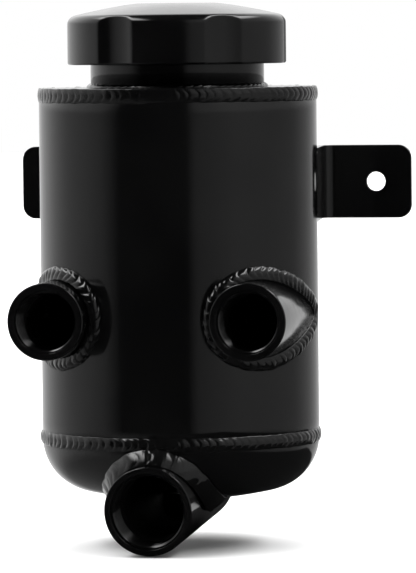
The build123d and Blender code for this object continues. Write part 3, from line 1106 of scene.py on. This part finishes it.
def matt_sheet(name, finish, cells, half_size, place, grain, dark, light):
    """A flat matt sheet of the stage; grain is its pattern's scale and detail."""
    material, tree, shader, coords = blank_material(finish)
    colour = colour_between(tree, noise(tree, coords, *grain), dark, light)
    tree.links.new(colour, shader.inputs["Base Color"])
    shader.inputs["Roughness"].default_value = 0.9
    shader.inputs["Specular IOR Level"].default_value = 0.0
    work = bmesh.new()
    bmesh.ops.create_grid(work, x_segments=cells, y_segments=cells, size=1.0)
    bmesh.ops.scale(work, vec=(*half_size, 1), verts=work.verts)
    mesh = bpy.data.meshes.new(name)
    work.to_mesh(mesh)
    work.free()
    mesh.materials.append(material)
    made = bpy.data.objects.new(name, mesh)
    bpy.context.scene.collection.objects.link(made)
    made.location = place
    return made


def floor():
    """A plain pale floor just below the outlet tube, which the coating doesn't mirror."""
    made = matt_sheet(
        "floor", "pale_floor", 8, (4.0, 4.0), (0, AXIS_Y + 2.0, cad_low.z - FLOOR_GAP),
        (6, 2), (0.90, 0.90, 0.90), (0.93, 0.93, 0.93),
    )
    made.visible_glossy = False


def reflected_shade_card():
    """A dark sheet under the object, seen only in the coating's reflections: painted shade that
    stands for the shaded floor beneath the object.
    """
    made = matt_sheet(
        "reflected_shade_card", "reflected_shade_card", 4, SHADE_CARD_HALF_SIZE,
        (SHADE_CARD_X, AXIS_Y + SHADE_CARD_Y, cad_low.z - SHADE_CARD_GAP),
        (400, 3), (0.010, 0.010, 0.010), (0.016, 0.016, 0.016),
    )
    made.visible_camera = False
    made.visible_diffuse = False
    made.visible_shadow = False


def set_levels(ramp_node, stops):
    """Give a colour ramp its grey levels; each stop is (degrees from the camera, level)."""
    ramp = ramp_node.color_ramp
    for index, (degrees, level) in enumerate(stops):
        position = (degrees + 180) / 360
        element = ramp.elements[index] if index < 2 else ramp.elements.new(position)
        element.position = position
        element.color = (level, level, level, 1)


def calculated(tree, operation, *operands):
    """The result of a sum on numbers and other nodes' outputs."""
    made = node(tree, "ShaderNodeMath", operation=operation)
    for socket, operand in zip(made.inputs, operands):
        if isinstance(operand, (int, float)):
            socket.default_value = operand
        else:
            tree.links.new(operand, socket)
    return made.outputs[0]


def mixed(tree, factor, a, b):
    """Colour a where the factor is 0, and colour b where it is 1."""
    made = node(tree, "ShaderNodeMix", data_type="RGBA")
    tree.links.new(factor, made.inputs["Factor"])
    tree.links.new(a, made.inputs["A"])
    tree.links.new(b, made.inputs["B"])
    return made.outputs["Result"]


def levels_round(tree, share, stops):
    """Grey levels by compass direction."""
    ramp = node(tree, "ShaderNodeValToRGB")
    set_levels(ramp, stops)
    tree.links.new(share, ramp.inputs["Fac"])
    return ramp.outputs["Color"]


def studio():
    """A white studio seen in reflections, with a dark opening on the camera's side."""
    world = bpy.data.worlds.new("studio")
    bpy.context.scene.world = world
    world.use_nodes = True
    tree = world.node_tree
    tree.nodes.clear()
    direction = node(tree, "ShaderNodeTexCoord").outputs["Generated"]
    split = node(tree, "ShaderNodeSeparateXYZ")
    tree.links.new(direction, split.inputs["Vector"])
    x, y, z = split.outputs

    heading = calculated(tree, "ARCTAN2", x, calculated(tree, "MULTIPLY", y, -1))
    turned = calculated(tree, "SUBTRACT", heading, CAMERA_AZIMUTH)
    wrapped = calculated(tree, "WRAP", turned, math.pi, -math.pi)
    share = remapped(tree, wrapped, -math.pi, math.pi)
    walls = levels_round(tree, share, WALL_LEVELS)
    ground = levels_round(tree, share, GROUND_LEVELS)

    sideways = node(tree, "ShaderNodeVectorMath", operation="DOT_PRODUCT")
    sideways.inputs[1].default_value = (math.cos(CAMERA_AZIMUTH), math.sin(CAMERA_AZIMUTH), 0)
    tree.links.new(direction, sideways.inputs[0])
    away = calculated(tree, "ABSOLUTE", sideways.outputs["Value"])
    strips = remapped(tree, away, *STRIP_EDGE, *STRIP_LEVELS, easing="SMOOTHSTEP")
    overhead = remapped(tree, z, *OVERHEAD_EDGE, easing="SMOOTHSTEP")
    below = remapped(tree, z, *GROUND_EDGE, easing="SMOOTHSTEP")
    raised = remapped(tree, z, *UPPER_EDGE, *UPPER_STRENGTHS, easing="SMOOTHSTEP")
    room = mixed(tree, below, mixed(tree, overhead, walls, strips), ground)

    reflected = node(tree, "ShaderNodeBackground")
    tree.links.new(room, reflected.inputs["Color"])
    tree.links.new(raised, reflected.inputs["Strength"])
    backdrop = node(tree, "ShaderNodeBackground", Color=(1, 1, 1, 1), Strength=1.0)
    path = node(tree, "ShaderNodeLightPath")
    mix = node(tree, "ShaderNodeMixShader")
    tree.links.new(path.outputs["Is Camera Ray"], mix.inputs["Fac"])
    tree.links.new(reflected.outputs[0], mix.inputs[1])
    tree.links.new(backdrop.outputs[0], mix.inputs[2])
    output = node(tree, "ShaderNodeOutputWorld")
    tree.links.new(mix.outputs[0], output.inputs["Surface"])


def skylight():
    """A broad soft light from above that the glossy coating doesn't mirror."""
    lamp = bpy.data.lights.new("skylight", "SUN")
    lamp.energy = SKY_STRENGTH
    lamp.angle = SKY_SOFTNESS
    made = bpy.data.objects.new("skylight", lamp)
    bpy.context.scene.collection.objects.link(made)
    made.rotation_euler = SKY_TURN
    made.visible_glossy = False


def camera():
    data = bpy.data.cameras.new("camera")
    data.lens = CAMERA_LENS
    data.sensor_width = 36.0
    data.clip_end = 50.0
    made = bpy.data.objects.new("camera", data)
    bpy.context.scene.collection.objects.link(made)
    a, e = CAMERA_AZIMUTH, CAMERA_ELEVATION
    back = Vector((math.sin(a) * math.cos(e), -math.cos(a) * math.cos(e), math.sin(e)))
    right = Vector((math.cos(a), math.sin(a), 0))
    up = back.cross(right)
    aim = Vector((0, AXIS_Y, SEAM_Z + AIM_UP)) + right * AIM_RIGHT
    rolled_right = right * math.cos(CAMERA_ROLL) + up * math.sin(CAMERA_ROLL)
    rolled_up = up * math.cos(CAMERA_ROLL) - right * math.sin(CAMERA_ROLL)
    turn = Matrix((rolled_right, rolled_up, back)).transposed()
    made.matrix_world = Matrix.Translation(aim + back * CAMERA_DISTANCE) @ turn.to_4x4()
    bpy.context.scene.camera = made


floor()
# Painted shade: a dark sheet that only the coating's reflections see
reflected_shade_card()
studio()
skylight()
camera()
bpy.context.scene.view_settings.view_transform = "Standard"
